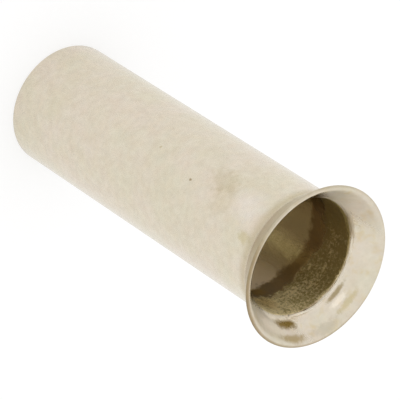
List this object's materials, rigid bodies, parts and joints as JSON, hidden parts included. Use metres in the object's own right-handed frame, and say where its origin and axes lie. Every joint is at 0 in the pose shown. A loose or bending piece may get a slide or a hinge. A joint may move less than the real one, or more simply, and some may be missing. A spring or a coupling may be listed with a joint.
{
  "type": "wire ferrule",
  "caption": "Thin tinned copper sleeve, open at both ends and flared at one, that gathers the bare strands of a wire before they are clamped.",
  "frame": {"origin": "on the barrel's axis, in the plane of the plain cut end", "axes": "+Z along the barrel's axis, from the plain end up to the flared mouth. The sleeve is round about Z."},
  "size_m": [0.01, 0.01, 0.025],
  "materials": {
    "tinned_copper": "satin tin plating over copper, faintly mottled"
  },
  "bodies": {
    "root": {"ferrule": "tinned_copper"}
  },
  "joints": []
}
